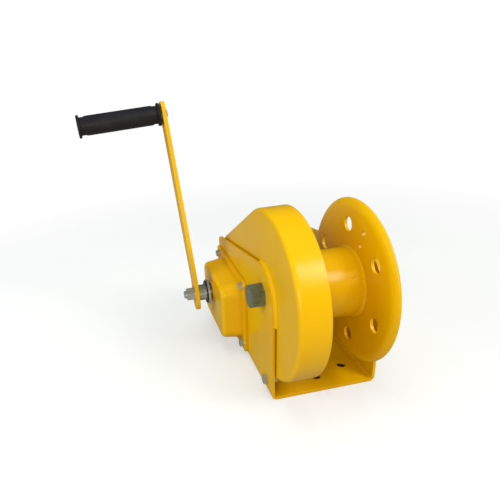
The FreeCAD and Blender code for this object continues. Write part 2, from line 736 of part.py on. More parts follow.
HUB_FACE = BRAKE_HUB_X - BRAKE_FLANGE_T
RATCHET_FACE = HUB_FACE - FRICTION_T
PRESSURE_FACE = RATCHET_FACE - RATCHET_T - FRICTION_T
COLLAR_START = PRESSURE_FACE - PRESSURE_T
STOP_FACE = COLLAR_START - COLLAR_L
BLACK_FACE = STOP_FACE - STOP_DISC_T
FLUTED_FACE = BLACK_FACE - BLACK_DISC_T
ARM_FACE = FLUTED_FACE - FLUTED_L
WASHER_FACE = ARM_FACE - ARM_T
NUT_FACE = WASHER_FACE - CRANK_WASHER_T
CRANK_END = NUT_FACE - CRANK_NUT_H - THREAD_END
SHAFT_BORE = SHAFT_R + PRESS_GAP


def outward(face, length, r_out, r_in):
    """A ring on the crank axis that starts at a station and grows away from the frame."""
    return tube(face - length, face, r_out, r_in, CRANK)


def brake_hub():
    flange = outward(BRAKE_HUB_X, BRAKE_FLANGE_T, BRAKE_FLANGE_R, SHAFT_BORE)
    return flange.fuse(outward(HUB_FACE, HUB_FACE - PRESSURE_FACE, BRAKE_SLEEVE_R, SHAFT_BORE))


def friction_discs():
    bore = BRAKE_SLEEVE_R + PRESS_GAP
    return Part.makeCompound([outward(HUB_FACE, FRICTION_T, FRICTION_R, bore),
                              outward(PRESSURE_FACE + FRICTION_T, FRICTION_T, FRICTION_R, bore)])


def ratchet_wheel():
    """Saw teeth: each rises slowly to its tip and drops straight back to the root."""
    points = []
    for tooth in range(RATCHET_TEETH):
        turn = 2 * math.pi * tooth / RATCHET_TEETH
        for r in (RATCHET_ROOT_R, RATCHET_R):
            points.append((CRANK[0] + r * math.cos(turn), CRANK[1] + r * math.sin(turn)))
    wheel = prism(points, RATCHET_FACE - RATCHET_T, RATCHET_FACE)
    return wheel.cut(rod(RATCHET_FACE - RATCHET_T - 1, RATCHET_FACE + 1,
                         BRAKE_SLEEVE_R + PRESS_GAP, CRANK))


def pressure_hub():
    plate = outward(PRESSURE_FACE, PRESSURE_T, BRAKE_FLANGE_R, SHAFT_BORE)
    return plate.fuse(outward(COLLAR_START, COLLAR_L, COLLAR_R, SHAFT_BORE))


def pawl():
    """The pawl rides just clear of the ratchet's tips."""
    reach = RATCHET_R + AIR + PAWL_NOSE_R
    nose = (CRANK[0] + reach * math.cos(PAWL_NOSE_TURN), CRANK[1] + reach * math.sin(PAWL_NOSE_TURN))
    blade = belt([(PAWL[0], PAWL[1], PAWL_BOSS_R), (nose[0], nose[1], PAWL_NOSE_R)],
                 RATCHET_FACE - RATCHET_T, RATCHET_FACE)
    return blade.cut(rod(RATCHET_FACE - RATCHET_T - 1, RATCHET_FACE + 1,
                         PAWL_PIN_R + RUN_FIT, PAWL))


def pawl_pin():
    """A headed pin fixed in the plate, with a shoulder behind the pawl."""
    pin = rod(RATCHET_FACE - RATCHET_T - 4, PLATE_T, PAWL_PIN_R, PAWL)
    shoulder = rod(RATCHET_FACE + SIDE_GAP, 0, PAWL_BOSS_R - 1, PAWL)
    head = rod(RATCHET_FACE - RATCHET_T - 6, RATCHET_FACE - RATCHET_T - 4, PAWL_BOSS_R - 1, PAWL)
    return pin.fuse([shoulder, head])


def pawl_spring():
    """Close turns of wire round the pin, between the pawl and the pin's head."""
    turns = []
    for i in range(SPRING_TURNS):
        x = RATCHET_FACE - RATCHET_T - SIDE_GAP - SPRING_WIRE_R - i * 2 * SPRING_WIRE_R
        turns.append(Part.makeTorus(PAWL_PIN_R + SPRING_WIRE_R + PRESS_GAP, SPRING_WIRE_R,
                                    vec(LEFT + x, *PAWL), AXIS_X))
    return Part.makeCompound(turns)


# ---------------------------------------------------------------- crank

def drive_square(x0, x1, across_flats, r):
    """A square with its corners turned down, leaning with the arm."""
    half = across_flats / 2
    square = prism([(CRANK[0] + sy * half, CRANK[1] + sz * half)
                    for sy, sz in ((-1, -1), (1, -1), (1, 1), (-1, 1))], x0, x1)
    return turn_about_x(square.common(rod(x0, x1, r, CRANK)), -ARM_LEAN, CRANK)


def crank_shaft():
    shaft = rod(ARM_FACE, FRAME_W - SHAFT_END_INSET, SHAFT_R, CRANK)
    shaft = shaft.cut(clip_grooves(CRANK, CLIP_X[1:]))
    thread = rod(CRANK_END, WASHER_FACE + 1, THREAD_R, CRANK)
    tip = edges_at(thread, lambda e: e.BoundBox.XMax < LEFT + CRANK_END + 0.1
                   and isinstance(e.Curve, Part.Circle))
    return shaft.fuse([drive_square(WASHER_FACE + 0.2, ARM_FACE, DRIVE_AF, SHAFT_R),
                       thread.makeChamfer(THREAD_CHAMFER, tip)])


def stop_disc():
    return outward(STOP_FACE, STOP_DISC_T, STOP_DISC_R, SHAFT_BORE)


def black_disc():
    return outward(BLACK_FACE, BLACK_DISC_T, BLACK_DISC_R, SHAFT_BORE)


def fluted_sleeve():
    """A sleeve with straight flutes all round."""
    sleeve = outward(FLUTED_FACE, FLUTED_L, FLUTED_R, SHAFT_BORE)
    floor = FLUTED_R - FLUTE_DEPTH
    cuts = []
    for i in range(FLUTES):
        groove = Part.makeBox(FLUTED_L, FLUTE_W, 2 * FLUTE_DEPTH,
                              vec(LEFT + ARM_FACE + 1, CRANK[0] - FLUTE_W / 2, CRANK[1] + floor))
        cuts.append(turn_about_x(groove, 360 / FLUTES * i, CRANK))
    return sleeve.cut(cuts)


def arm_mid_x():
    return LEFT + ARM_FACE - ARM_T / 2


def lean_with_arm(shape):
    return turn_about_x(shape, -ARM_LEAN, CRANK)


def crank_arm():
    """A flat bar that leans slightly outwards above the hub, with rounded ends."""
    rise = ARM_LENGTH - ARM_BEND_H + ARM_TIP
    middle = [(0, -ARM_TAIL), (0, ARM_BEND_H),
              (-rise * math.sin(ARM_TILT), ARM_BEND_H + rise * math.cos(ARM_TILT))]
    normal_turns = (0, ARM_TILT / 2, ARM_TILT)
    sides = []
    for side in (1, -1):
        half = side * ARM_T / 2
        sides.append([(x + half * math.cos(a), z + half * math.sin(a))
                      for (x, z), a in zip(middle, normal_turns)])
    outline = sides[0] + sides[1][::-1]
    wire = Part.makePolygon([vec(arm_mid_x() + x, CRANK[0] - ARM_W / 2, CRANK[1] + z)
                             for x, z in outline + outline[:1]])
    bar = Part.Face(wire).extrude(vec(0, ARM_W, 0))
    ends = edges_at(bar, lambda e: abs(e.Length - ARM_T) < 0.05)
    bar = bar.makeFillet(ARM_END_R, ends)
    eye = spindle_ring(-ARM_T, ARM_T, SPINDLE_R + PRESS_GAP)
    bar = lean_with_arm(bar).cut(eye)
    return bar.cut(drive_square(WASHER_FACE - 1, ARM_FACE + 1, DRIVE_AF + 2 * PRESS_GAP,
                                SHAFT_R + PRESS_GAP))


def crank_washer():
    return outward(WASHER_FACE, CRANK_WASHER_T, CRANK_WASHER_R, THREAD_R + AIR)


def crank_nut():
    nut = hexagon(NUT_FACE - CRANK_NUT_H, NUT_FACE, CRANK_NUT_AF, CRANK)
    return nut.cut(rod(NUT_FACE - CRANK_NUT_H - 1, NUT_FACE + 1, THREAD_R + PRESS_GAP, CRANK))


# ---------------------------------------------------------------- grip, along the spindle

def grip_root():
    """Where the spindle's axis crosses the middle of the upright arm."""
    rise = ARM_LENGTH - ARM_BEND_H
    return vec(arm_mid_x() - rise * math.sin(ARM_TILT), CRANK[0],
               CRANK[1] + ARM_BEND_H + rise * math.cos(ARM_TILT))


def place_on_spindle(shape):
    """Moves a shape built about -X at the origin onto the spindle's axis."""
    placed = shape.copy()
    placed.rotate(vec(0, 0, 0), AXIS_Y, -math.degrees(ARM_TILT))
    placed.translate(grip_root())
    return lean_with_arm(placed)


def spindle_turned(points):
    """Turns (distance along the spindle, radius) points into a solid on its axis."""
    wire = Part.makePolygon([vec(-s, 0, r) for s, r in points + points[:1]])
    return place_on_spindle(Part.Face(wire).revolve(vec(0, 0, 0), AXIS_X, 360))


def spindle_ring(s0, s1, r):
    return spindle_turned([(s0, 0), (s1, 0), (s1, r), (s0, r)])


GRIP_START = ARM_T / 2 + GRIP_WASHER_T + SIDE_GAP
GRIP_END = GRIP_START + GRIP_L
SPINDLE_END = GRIP_END - GRIP_POCKET_L + SIDE_GAP


def grip_spindle():
    half = ARM_T / 2
    return spindle_turned([
        (-half - RIVET_T, 0), (-half - RIVET_T, RIVET_R - 1.5), (-half - RIVET_T + 1, RIVET_R),
        (-half, RIVET_R), (-half, SPINDLE_R), (SPINDLE_END, SPINDLE_R),
        (SPINDLE_END, SPINDLE_HEAD_R), (SPINDLE_END + SPINDLE_HEAD_T, SPINDLE_HEAD_R - 1),
        (SPINDLE_END + SPINDLE_HEAD_T, 0)])


def grip_washer():
    half, bore = ARM_T / 2, SPINDLE_R + PRESS_GAP
    return spindle_turned([(half, bore), (half + GRIP_WASHER_T, bore),
                           (half + GRIP_WASHER_T, GRIP_WASHER_R), (half, GRIP_WASHER_R)])


def grip():
    """A roller with a flange at each end and a narrower neck beside each flange."""
    near = [(0, GRIP_BORE_R), (0, GRIP_FLANGE_R - 1), (1, GRIP_FLANGE_R),
            (GRIP_FLANGE_T - 1, GRIP_FLANGE_R), (GRIP_FLANGE_T, GRIP_FLANGE_R - 1),
            (GRIP_FLANGE_T, GRIP_NECK_R), (GRIP_FLANGE_T + GRIP_NECK_L, GRIP_NECK_R),
            (GRIP_FLANGE_T + GRIP_NECK_L + GRIP_TAPER_L, GRIP_R)]
    far = [(GRIP_L - s, r) for s, r in reversed(near[1:])]
    pocket = [(GRIP_L, GRIP_POCKET_R), (GRIP_L - GRIP_POCKET_L, GRIP_POCKET_R),
              (GRIP_L - GRIP_POCKET_L, GRIP_BORE_R)]
    return spindle_turned([(GRIP_START + s, r) for s, r in near + far + pocket])


NODES = {
    "frame_bracket": frame_bracket,
    "gear_cover": gear_cover,
    "cover_bead": cover_bead,
    "lug_bolt": lug_bolt,
    "lug_nut": lug_nut,
    "lug_spacer": lug_spacer,
    "brake_cover": brake_cover,
    "brake_cover_bolts": brake_cover_bolts,
    "axle_bolt": axle_bolt,
    "axle_nut": axle_nut,
    "axle_washer": axle_washer,
    "axle_sleeve": axle_sleeve,
    "drum_spacers": drum_spacers,
    "lay_shaft_bushes": lambda: shaft_bushes(LAY),
    "crank_shaft_bushes": lambda: shaft_bushes(CRANK),
    "pawl_pin": pawl_pin,
    "pawl_spring": pawl_spring,
    "drum_barrel": drum_barrel,
    "drum_flange_outer": drum_flange_outer,
    "drum_flange_inner": drum_flange_inner,
    "drum_welds": drum_welds,
    "drum_hub": drum_hub,
    "drum_bushes": drum_bushes,
    "drum_gear": drum_gear,
    "lay_shaft": lay_shaft,
    "lay_gear": lay_gear,
    "lay_pinion": lay_pinion,
    "lay_shaft_clips": lambda: shaft_clips(LAY, CLIP_X),
    "crank_shaft": crank_shaft,
    "crank_pinion": crank_pinion,
    "crank_shaft_clip": lambda: shaft_clips(CRANK, CLIP_X[1:]),
    "brake_hub": brake_hub,
    "friction_discs": friction_discs,
    "ratchet_wheel": ratchet_wheel,
    "pressure_hub": pressure_hub,
    "stop_disc": stop_disc,
    "black_disc": black_disc,
    "fluted_sleeve": fluted_sleeve,
    "crank_arm": crank_arm,
    "crank_washer": crank_washer,
    "crank_nut": crank_nut,
    "grip_spindle": grip_spindle,
    "grip_washer": grip_washer,
    "grip": grip,
    "pawl": pawl,
}

os.makedirs("parts", exist_ok=True)
for name, build in NODES.items():
    shape = build()
    shape.exportStep("parts/" + name + ".step")
    box = shape.BoundBox
    print("%-20s solids %d valid %s volume %.0f  x %.1f..%.1f y %.1f..%.1f z %.1f..%.1f" % (
        name, len(shape.Solids), shape.isValid(), shape.Volume,
        box.XMin, box.XMax, box.YMin, box.YMax, box.ZMin, box.ZMax))
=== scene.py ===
"""Looks of a hand winch for boat trailers: finishes, turned details, floor, lamps and camera."""

import json
import logging
import math
from dataclasses import dataclass
from enum import Enum
from typing import Any, Iterable

import bpy
from mathutils import Matrix, Vector


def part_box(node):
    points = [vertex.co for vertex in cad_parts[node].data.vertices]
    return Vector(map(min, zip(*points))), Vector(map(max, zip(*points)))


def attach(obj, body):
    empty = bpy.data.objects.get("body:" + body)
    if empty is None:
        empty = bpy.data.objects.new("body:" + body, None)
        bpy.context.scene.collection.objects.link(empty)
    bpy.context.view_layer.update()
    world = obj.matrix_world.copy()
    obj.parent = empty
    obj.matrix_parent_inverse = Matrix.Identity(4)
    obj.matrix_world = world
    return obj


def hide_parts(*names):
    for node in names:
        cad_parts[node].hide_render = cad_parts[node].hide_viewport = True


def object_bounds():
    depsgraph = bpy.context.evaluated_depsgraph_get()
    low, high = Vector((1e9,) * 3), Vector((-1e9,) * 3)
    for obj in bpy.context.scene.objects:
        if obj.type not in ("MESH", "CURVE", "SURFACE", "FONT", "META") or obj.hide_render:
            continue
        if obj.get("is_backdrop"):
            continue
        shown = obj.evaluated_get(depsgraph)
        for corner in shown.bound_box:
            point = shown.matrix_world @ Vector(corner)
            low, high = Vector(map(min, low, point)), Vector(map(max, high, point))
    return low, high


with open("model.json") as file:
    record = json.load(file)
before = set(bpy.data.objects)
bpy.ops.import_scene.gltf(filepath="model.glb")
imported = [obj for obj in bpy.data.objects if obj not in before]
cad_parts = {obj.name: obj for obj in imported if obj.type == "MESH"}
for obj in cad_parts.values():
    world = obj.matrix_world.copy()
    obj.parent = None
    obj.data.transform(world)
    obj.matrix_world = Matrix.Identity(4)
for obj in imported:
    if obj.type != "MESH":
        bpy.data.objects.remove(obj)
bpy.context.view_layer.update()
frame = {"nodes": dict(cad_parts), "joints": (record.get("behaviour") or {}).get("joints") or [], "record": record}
LOG = logging.getLogger("winch")
MM = 0.001
MERGE = 0.002 * MM
SMOOTH_ANGLE = math.radians(35)
Station = tuple[float, float]
Span = tuple[float, float]
Colour = tuple[float, float, float]


# ------------------------------------------------------------------ shader maths

@dataclass(frozen=True)
class Signal:
    """A value that varies over a surface, taken from one socket of a node tree."""

    tree: bpy.types.NodeTree
    socket: bpy.types.NodeSocket

    def _math(self, operation: str, first: Any, second: Any, clamp: bool = False) -> "Signal":
        """Adds one Math node.

        Args:
            operation: The node's operation.
            first: Its first value, a Signal or a number.
            second: Its second value, a Signal or a number.
            clamp: Whether the result is held between 0 and 1.

        Returns:
            The node's result.
        """
        node = self.tree.nodes.new("ShaderNodeMath")
        node.operation = operation
        node.use_clamp = clamp
        for slot, value in zip(node.inputs, (first, second)):
            if isinstance(value, Signal):
                self.tree.links.new(value.socket, slot)
            else:
                slot.default_value = value
        return Signal(self.tree, node.outputs[0])

    def __add__(self, other: Any) -> "Signal":
        """Sum."""
        return self._math("ADD", self, other)

    def __radd__(self, other: Any) -> "Signal":
        """Sum with a number on the left."""
        return self._math("ADD", other, self)

    def __sub__(self, other: Any) -> "Signal":
        """Difference."""
        return self._math("SUBTRACT", self, other)

    def __rsub__(self, other: Any) -> "Signal":
        """Difference from a number on the left."""
        return self._math("SUBTRACT", other, self)

    def __mul__(self, other: Any) -> "Signal":
        """Product."""
        return self._math("MULTIPLY", self, other)

    def __rmul__(self, other: Any) -> "Signal":
        """Product with a number on the left."""
        return self._math("MULTIPLY", other, self)

    def __truediv__(self, other: Any) -> "Signal":
        """Quotient."""
        return self._math("DIVIDE", self, other)

    def held(self) -> "Signal":
        """The value held between 0 and 1."""
        return self._math("ADD", self, 0.0, clamp=True)

    def length(self) -> "Signal":
        """The value without its sign."""
        return self._math("ABSOLUTE", self, 0.0)

    def or_larger(self, other: Any) -> "Signal":
        """The larger of two values."""
        return self._math("MAXIMUM", self, other)

    def ramp(self, low: float, high: float) -> "Signal":
        """Rises from 0 at low to 1 at high, and is held there."""
        return ((self - low) / (high - low)).held()


@dataclass(frozen=True)
class Pattern:
    """A cloudy pattern in object space, with its scale in cells per metre."""

    scale: float
    detail: float = 3.0
    rough: float = 0.5
    stretch: tuple[float, float, float] = (1.0, 1.0, 1.0)


@dataclass(frozen=True)
class Tint:
    """A colour laid on where a signal rises through its span, up to its share."""

    colour: Colour
    span: Span
    share: float = 1.0


@dataclass(frozen=True)
class Relief:
    """A bump's depth in metres, and how much of it shows."""

    depth: float
    strength: float


class Recipe:
    """Builds one material from a Principled shader and the nodes that vary it."""

    EDGE_SAMPLES = 4
    SOFT_SAMPLES = 6
    NOOK_SAMPLES = 8

    def __init__(self, name: str, softness: float = 0.4 * MM) -> None:
        """Starts a material.

        Args:
            name: The material's name.
            softness: How far sharp edges look rounded, in metres.
        """
        self.softness = softness
        self.material = bpy.data.materials.new(name)
        self.material.use_nodes = True
        self.tree = self.material.node_tree
        self.tree.nodes.clear()
        self.shader = self.add("ShaderNodeBsdfPrincipled", {}, {})
        output = self.add("ShaderNodeOutputMaterial", {}, {})
        self.tree.links.new(self.shader.outputs[0], output.inputs[0])
        self.place = Signal(self.tree, self.add("ShaderNodeTexCoord", {}, {}).outputs["Object"])

    def add(self, kind: str, settings: dict[str, Any], sockets: dict[Any, Any]) -> bpy.types.Node:
        """Adds any node, its settings first, then its sockets' values or links.

        Args:
            kind: The node's type.
            settings: Property names and values.
            sockets: Socket names or numbers, and a Signal or a constant for each.

        Returns:
            The new node.
        """
        node = self.tree.nodes.new(kind)
        for key, value in settings.items():
            setattr(node, key, value)
        for key, value in sockets.items():
            if isinstance(value, Signal):
                self.tree.links.new(value.socket, node.inputs[key])
            else:
                node.inputs[key].default_value = value
        return node

    def noise(self, pattern: Pattern) -> Signal:
        """Adds a cloudy pattern.

        Args:
            pattern: Its sizes.

        Returns:
            The pattern, about 0.3 to 0.7.
        """
        mapping = self.add("ShaderNodeMapping", {},
                           {"Vector": self.place, "Scale": pattern.stretch})
        node = self.add("ShaderNodeTexNoise", {},
                        {"Vector": Signal(self.tree, mapping.outputs[0]), "Scale": pattern.scale,
                         "Detail": pattern.detail, "Roughness": pattern.rough})
        return Signal(self.tree, node.outputs[0])

    def edge(self, radius: float) -> Signal:
        """How near a surface point is to a sharp edge.

        Args:
            radius: The reach of the effect, in metres.

        Returns:
            0 on a flat stretch, rising towards an edge.
        """
        bevel = self.add("ShaderNodeBevel", {"samples": self.EDGE_SAMPLES}, {"Radius": radius})
        flat = self.add("ShaderNodeNewGeometry", {}, {})
        dot = self.add("ShaderNodeVectorMath", {"operation": "DOT_PRODUCT"},
                       {0: Signal(self.tree, bevel.outputs[0]),
                        1: Signal(self.tree, flat.outputs["Normal"])})
        return 1.0 - Signal(self.tree, dot.outputs["Value"])

    def nook(self, reach: float) -> Signal:
        """How closed in a surface point is by what lies round it.

        Args:
            reach: How far it looks, in metres.

        Returns:
            0 in the open, rising towards 1 far inside a gap.
        """
        node = self.add("ShaderNodeAmbientOcclusion", {"samples": self.NOOK_SAMPLES},
                        {"Distance": reach})
        return 1.0 - Signal(self.tree, node.outputs["AO"])

    def blend(self, factor: Signal, first: Any, second: Any) -> Signal:
        """Mixes two colours.

        Args:
            factor: 0 gives the first, 1 the second.
            first: A colour or a Signal.
            second: A colour or a Signal.

        Returns:
            The mixed colour.
        """
        paint = [value if isinstance(value, Signal) else (*value, 1.0) for value in (first, second)]
        node = self.add("ShaderNodeMix", {"data_type": "RGBA"},
                        {0: factor, 6: paint[0], 7: paint[1]})
        return Signal(self.tree, node.outputs[2])

    def lay(self, under: Any, tint: Tint, where: Signal) -> Signal:
        """Lays a tint over a colour.

        Args:
            under: The colour below, a colour or a Signal.
            tint: The tint.
            where: What the tint follows.

        Returns:
            The mixed colour.
        """
        return self.blend(where.ramp(*tint.span) * tint.share, under, tint.colour)

    def bump(self, height: Signal, relief: Relief) -> None:
        """Feeds a bump to the shader's normal.

        Args:
            height: The relief's pattern, from 0 to 1.
            relief: Its depth and strength.
        """
        soft = self.add("ShaderNodeBevel", {"samples": self.SOFT_SAMPLES},
                        {"Radius": self.softness})
        node = self.add("ShaderNodeBump", {},
                        {"Height": height, "Distance": relief.depth,
                         "Strength": relief.strength, "Normal": Signal(self.tree, soft.outputs[0])})
        self.tree.links.new(node.outputs[0], self.shader.inputs["Normal"])

    def feed(self, **sockets: Any) -> None:
        """Sets or links the shader's sockets, whose names have _ for a space."""
        for key, value in sockets.items():
            socket = self.shader.inputs[key.replace("_", " ")]
            if isinstance(value, Signal):
                self.tree.links.new(value.socket, socket)
            elif isinstance(value, tuple):
                socket.default_value = (*value, 1.0)
            else:
                socket.default_value = value


# ------------------------------------------------------------------ finishes

@dataclass(frozen=True)
class PowderCoat:
    """Thick glossy paint with fine orange peel, a painted highlight along edges and painted shade in gaps."""

    colour: Colour = (0.76, 0.43, 0.0)
    shade: Tint = Tint((0.74, 0.40, 0.0), (0.35, 0.68))
    # Lighter paint along sharp edges: a painted highlight.
    edge_highlight: Tint = Tint((0.86, 0.56, 0.01), (0.02, 0.5), 0.55)
    dust: Tint = Tint((0.90, 0.68, 0.10), (0.62, 0.74), 0.08)
    # Dark orange-brown in gaps and crevices: painted shade.
    gap_shade: Tint = Tint((0.36, 0.12, 0.0), (0.2, 0.9), 0.75)
    softness: float = 0.9 * MM
    rim: float = 1.2 * MM
    gap: float = 16.0 * MM
    clouds: Pattern = Pattern(14.0)
    specks: Pattern = Pattern(2600.0, 2.0)
    peel: Pattern = Pattern(520.0, 2.0, 0.4)
    smears: Pattern = Pattern(60.0, 4.0, 0.6, (1.0, 1.0, 0.35))
    relief: Relief = Relief(0.10 * MM, 0.35)
    smooth: float = 0.24
    swing: float = 0.12
    specular: float = 0.12
    coat: float = 0.26
    coat_roughness: float = 0.19

    def build(self, name: str) -> bpy.types.Material:
        """Makes the material under this name."""
        recipe = Recipe(name, self.softness)
        paint = recipe.lay(self.colour, self.shade, recipe.noise(self.clouds))
        # Painted highlight: the paint is made lighter along sharp edges.
        paint = recipe.lay(paint, self.edge_highlight, recipe.edge(self.rim))
        paint = recipe.lay(paint, self.dust, recipe.noise(self.specks))
        # Painted shade: the paint is darkened in gaps and crevices, by ambient occlusion.
        paint = recipe.lay(paint, self.gap_shade, recipe.nook(self.gap))
        recipe.feed(Base_Color=paint, Coat_Weight=self.coat, Coat_Roughness=self.coat_roughness,
                    Roughness=self.smooth + recipe.noise(self.smears) * self.swing,
                    Specular_IOR_Level=self.specular)
        recipe.bump(recipe.noise(self.peel), self.relief)
        return recipe.material


@dataclass(frozen=True)
class PlainMetal:
    """Metal with cloudy stains, bright rubbed edges and fine tool marks."""

    colour: Colour
    stain: Tint
    rubbed: Tint
    rim: float
    clouds: Pattern
    marks: Pattern
    relief: Relief
    metallic: float
    smooth: float
    swing: float = 0.2

    def build(self, name: str) -> bpy.types.Material:
        """Makes the material under this name."""
        recipe = Recipe(name)
        marks = recipe.noise(self.marks)
        metal = recipe.lay(self.colour, self.stain, recipe.noise(self.clouds))
        metal = recipe.lay(metal, self.rubbed, recipe.edge(self.rim))
        recipe.feed(Base_Color=metal, Metallic=self.metallic,
                    Roughness=self.smooth + marks * self.swing)
        recipe.bump(marks, self.relief)
        return recipe.material


@dataclass(frozen=True)
class BlackOxide:
    """Blackened steel, lighter where it rubs."""

    colour: Colour = (0.018, 0.018, 0.018)
    haze: Tint = Tint((0.035, 0.034, 0.032), (0.4, 0.7))
    rubbed: Tint = Tint((0.16, 0.16, 0.16), (0.1, 0.6), 0.5)
    rim: float = 0.4 * MM
    clouds: Pattern = Pattern(150.0)
    grain: Pattern = Pattern(1400.0, 2.0)
    relief: Relief = Relief(0.03 * MM, 0.4)
    metallic: float = 0.4
    smooth: float = 0.42
    swing: float = 0.12

    def build(self, name: str) -> bpy.types.Material:
        """Makes the material under this name."""
        recipe = Recipe(name)
        clouds = recipe.noise(self.clouds)
        skin = recipe.lay(self.colour, self.haze, clouds)
        skin = recipe.lay(skin, self.rubbed, recipe.edge(self.rim))
        recipe.feed(Base_Color=skin, Metallic=self.metallic,
                    Roughness=self.smooth + clouds.ramp(*self.haze.span) * self.swing)
        recipe.bump(recipe.noise(self.grain), self.relief)
        return recipe.material


@dataclass(frozen=True)
class MouldedGrip:
    """Satin black moulding with a fine grain, a little greyer where hands rub it."""

    colour: Colour = (0.012, 0.012, 0.015)
    rubbed: Tint = Tint((0.022, 0.022, 0.026), (0.4, 0.7), 0.5)
    hands: Pattern = Pattern(45.0)
    grain: Pattern = Pattern(2200.0, 2.0, 0.6)
    relief: Relief = Relief(0.05 * MM, 0.5)
    smooth: float = 0.50
    swing: float = 0.10
    specular: float = 0.20

    def build(self, name: str) -> bpy.types.Material:
        """Makes the material under this name."""
        recipe = Recipe(name)
        hands = recipe.noise(self.hands)
        recipe.feed(Base_Color=recipe.lay(self.colour, self.rubbed, hands),
                    Roughness=self.smooth + hands.ramp(*self.rubbed.span) * self.swing,
                    Specular_IOR_Level=self.specular)
        recipe.bump(recipe.noise(self.grain), self.relief)
        return recipe.material


@dataclass(frozen=True)
class SinteredBronze:
    """Porous bronze bearing metal."""

    colour: Colour = (0.52, 0.32, 0.13)
    pore: Tint = Tint((0.20, 0.11, 0.05), (0.55, 0.7))
    pores: Pattern = Pattern(1800.0)
    relief: Relief = Relief(0.04 * MM, 0.4)
    metallic: float = 0.95
    smooth: float = 0.38
    swing: float = 0.2

    def build(self, name: str) -> bpy.types.Material:
        """Makes the material under this name."""
        recipe = Recipe(name)
        pores = recipe.noise(self.pores)
        depth = pores.ramp(*self.pore.span)
        recipe.feed(Base_Color=recipe.lay(self.colour, self.pore, pores),
                    Metallic=self.metallic, Roughness=self.smooth + depth * self.swing)
        recipe.bump(depth, self.relief)
        return recipe.material


@dataclass(frozen=True)
class BrakeLining:
    """Pressed lining with flecks of brass."""

    colour: Colour = (0.055, 0.045, 0.036)
    pale: Colour = (0.10, 0.085, 0.07)
    brass: Tint = Tint((0.45, 0.30, 0.12), (0.66, 0.70))
    clouds: Pattern = Pattern(300.0, 4.0)
    flecks: Pattern = Pattern(1300.0, 1.0)
    relief: Relief = Relief(0.05 * MM, 0.5)
    roughness: float = 0.85

    def build(self, name: str) -> bpy.types.Material:
        """Makes the material under this name."""
        recipe = Recipe(name)
        flecks = recipe.noise(self.flecks)
        body = recipe.blend(recipe.noise(self.clouds), self.colour, self.pale)
        recipe.feed(Base_Color=recipe.lay(body, self.brass, flecks), Roughness=self.roughness)
        recipe.bump(flecks.ramp(*self.brass.span), self.relief)
        return recipe.material


class Finish(Enum):
    """The record's material slots, each with its finish."""

    yellow_paint = PowderCoat()
    zinc = PlainMetal(
        colour=(0.62, 0.66, 0.66), stain=Tint((0.50, 0.53, 0.49), (0.35, 0.7)),
        rubbed=Tint((0.80, 0.80, 0.78), (0.05, 0.5), 0.6), rim=0.5 * MM,
        clouds=Pattern(90.0), marks=Pattern(900.0, 2.0, 0.5, (6.0, 1.0, 1.0)),
        relief=Relief(0.03 * MM, 0.4), metallic=0.78, smooth=0.22)
    bare_steel = PlainMetal(
        colour=(0.20, 0.29, 0.27), stain=Tint((0.14, 0.14, 0.08), (0.35, 0.7)),
        rubbed=Tint((0.52, 0.52, 0.48), (0.04, 0.5), 0.5), rim=0.6 * MM,
        clouds=Pattern(70.0, 4.0, 0.6), marks=Pattern(420.0, 2.0, 0.5, (1.0, 8.0, 8.0)),
        relief=Relief(0.04 * MM, 0.35), metallic=0.7, smooth=0.28)
    black_steel = BlackOxide()
    grip_plastic = MouldedGrip()
    bronze = SinteredBronze()
    friction_lining = BrakeLining()


class Paintshop:
    """Makes each finish once and puts it on pieces and on the frame's own nodes."""

    def __init__(self) -> None:
        """Builds every finish's material."""
        self.materials = {finish.name: finish.value.build("finish_" + finish.name)
                          for finish in Finish}
        self.slots = {part["node"]: part["material_slot"]
                      for part in frame["record"]["subparts"]}

    def coat(self, piece: bpy.types.Object, finish: Finish) -> None:
        """Gives a new piece its only material.

        Args:
            piece: The piece.
            finish: Its finish.
        """
        piece.data.materials.clear()
        piece.data.materials.append(self.materials[finish.name])

    def dress(self, name: str) -> None:
        """Dresses a carried-over node by its slot in the record.

        Args:
            name: The node's name.
        """
        node = frame["nodes"][name]
        material = self.materials[self.slots[name]]
        if not node.material_slots:
            node.data.materials.append(material)
        for entry in node.material_slots:
            entry.material = material


# ------------------------------------------------------------------ modelling by hand

def select_none() -> None:
    """Leaves edit mode and deselects every object."""
    if bpy.context.object and bpy.context.object.mode != "OBJECT":
        bpy.ops.object.mode_set(mode="OBJECT")
    bpy.ops.object.select_all(action="DESELECT")


def middle_of(node: str) -> Vector:
    """The centre of a node's box."""
    low, high = (Vector(corner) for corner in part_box(node))
    return (low + high) / 2


def turned_ring(name: str, start: Vector, axis: Vector, stations: Iterable[Station],
                segments: int = 96) -> bpy.types.Object:
    """Turns a closed outline about an axis: a circle is extruded and resized ring by ring.

    Args:
        name: The new piece's name.
        start: The point on the axis that stations are measured from.
        axis: The direction of the axis.
        stations: (distance along the axis, radius) points, counted in metres.
        segments: Corners of each ring.

    Returns:
        The piece, closed, with its place in its mesh.
    """
    select_none()
    points = list(stations)
    heading = axis.normalized()
    at, radius = points[0]
    bpy.ops.mesh.primitive_circle_add(
        vertices=segments, radius=radius, location=start + heading * at,
        rotation=heading.to_track_quat("Z", "Y").to_euler())
    piece = bpy.context.object
    piece.name = piece.data.name = name
    bpy.ops.object.mode_set(mode="EDIT")
    bpy.ops.mesh.select_all(action="SELECT")
    for next_at, next_radius in points[1:] + points[:1]:
        bpy.ops.mesh.extrude_region_move(
            TRANSFORM_OT_translate={"value": heading * (next_at - at)})
        grow = next_radius / radius
        bpy.ops.transform.resize(value=(grow, grow, grow),
                                 center_override=start + heading * next_at)
        at, radius = next_at, next_radius
    bpy.ops.mesh.select_all(action="SELECT")
    bpy.ops.mesh.remove_doubles(threshold=MERGE)
    bpy.ops.mesh.normals_make_consistent(inside=False)
    bpy.ops.object.mode_set(mode="OBJECT")
    bpy.ops.object.transform_apply(location=True, rotation=True, scale=True)
    bpy.ops.object.shade_smooth_by_angle(angle=SMOOTH_ANGLE)
    return piece


